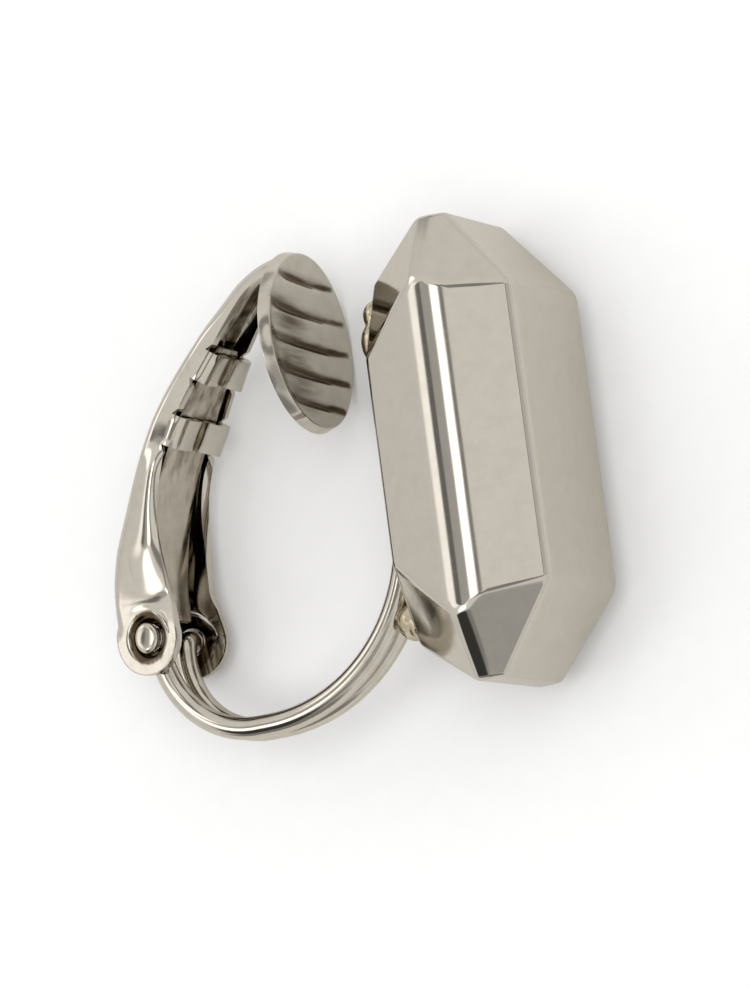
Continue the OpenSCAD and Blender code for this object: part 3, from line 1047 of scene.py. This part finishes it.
def soft_patch(glow, centre, inner, outer, level):
    """Lets the tent's light pass softly to another level within some degrees of a direction."""
    way = (laid.to_3x3() @ Vector(centre)).normalized()
    nearness = nodes.new("ShaderNodeVectorMath")
    nearness.operation = "DOT_PRODUCT"
    nearness.inputs[1].default_value = way
    links.new(towards.outputs["Generated"], nearness.inputs[0])
    mask = nodes.new("ShaderNodeMapRange")
    mask.interpolation_type = "SMOOTHSTEP"
    mask.inputs["From Min"].default_value = math.cos(math.radians(outer))
    mask.inputs["From Max"].default_value = math.cos(math.radians(inner))
    links.new(nearness.outputs["Value"], mask.inputs["Value"])
    change = nodes.new("ShaderNodeMix")
    change.data_type = "FLOAT"
    links.new(mask.outputs["Result"], change.inputs["Factor"])
    links.new(glow, change.inputs["A"])
    change.inputs["B"].default_value = level
    return change.outputs["Result"]


# Each patch has the way to it as the earring is worn, the degrees within which it is full and past
# which it is gone, and its level: first a bright panel in a dark frame, then shades and lamps round
# the table, and last the dark stands between the lamps and under them
panel_way = (0.172, 0.16, 0.972)
for centre, inner, outer, level in (
    (panel_way, 20, 25, 0.35),
    (panel_way, 10, 13, 1.08),
    ((0.75, 0.16, 0.64), 10, 24, 0.75),
    ((-0.3, 0.95, 0.08), 12, 22, 0.55),
    ((-0.3, -0.93, 0.22), 20, 32, 0.34),
    ((-0.71, 0.45, 0.55), 7, 11, 2.2),
    ((0.18, -0.61, 0.775), 12, 24, 0.56),
    ((-0.17, -0.62, 0.77), 7, 14, 0.35),
    ((-0.694, 0.16, 0.702), 5, 10, 1.75),
    ((-0.255, 0.16, 0.953), 5, 9, 2.9),
    ((-0.45, -0.17, 0.87), 8, 13, 2.6),
    ((-0.463, 0.16, 0.872), 6, 11, 0.6),
    ((-0.58, 0.16, 0.799), 3, 7, 0.22),
    ((-0.46, -0.60, 0.65), 13, 19, 0.06),
):
    glow = soft_patch(glow, centre, inner, outer, level)
links.new(glow, sky.inputs["Strength"])
sky.inputs["Color"].default_value = (1.0, 1.0, 1.0, 1)

clear_bench()
lamp_tip = (math.radians(3), math.radians(8), 0)
bpy.ops.object.light_add(type="SUN", location=(0, 0, 1), rotation=lamp_tip)
overhead = bpy.context.object
overhead.name = "overhead"
overhead.data.energy = 1.25
overhead.data.angle = math.radians(60)
overhead.visible_glossy = False


# Camera: a long lens high over the table, turned to see the near side, a little of the front and the
# pad's hollow face, as the photograph does.

turned, under, rolled = math.radians(28), math.radians(9.2), math.radians(7.4)
right = Vector((math.cos(turned), 0, -math.sin(turned)))
level_way = Vector((math.sin(turned), 0, math.cos(turned)))
up = level_way * math.sin(under) + Vector((0, math.cos(under), 0))
back = level_way * math.cos(under) - Vector((0, math.sin(under), 0))
across = right * math.cos(rolled) - up * math.sin(rolled)
upward = right * math.sin(rolled) + up * math.cos(rolled)
stand = Matrix.Rotation(-lean, 3, "Y")
across, upward, back = stand @ across, stand @ upward, stand @ back
clear_bench()
bpy.ops.object.camera_add()
camera = bpy.context.object
camera.name = "camera"
lens, sensor = 200, 36
camera.data.lens = lens
camera.data.sensor_width = sensor

# The photograph has 4.73 pixels to a millimetre. This camera stands closer, and the earring's
# middle falls as many pixels from the picture's as it does there. Places are in the photograph's pixels
picture_width, picture_height = 750, 987
photo_scale, closer = 4.73, 5.0
block_x, block_y = 387.75, 473.7
earring_x, earring_y = 362, 479.5
aim_x = earring_x + (picture_width / 2 - earring_x) / closer
aim_y = earring_y + (picture_height / 2 - earring_y) / closer
frame_height = picture_height / (photo_scale * closer) / 1000
distance = frame_height / 2 / (sensor / 2 / lens)
block_middle = rest_shift / 1000
aim = block_middle - across * (block_x - aim_x) / (1000 * photo_scale)
aim += upward * (block_y - aim_y) / (1000 * photo_scale)
placed = Matrix((across, upward, back)).transposed().to_4x4()
camera.matrix_world = Matrix.Translation(aim + back * distance) @ placed
camera.data.clip_start = 0.01
camera.data.clip_end = 10
bpy.context.scene.camera = camera
bpy.context.scene.view_settings.view_transform = "Standard"
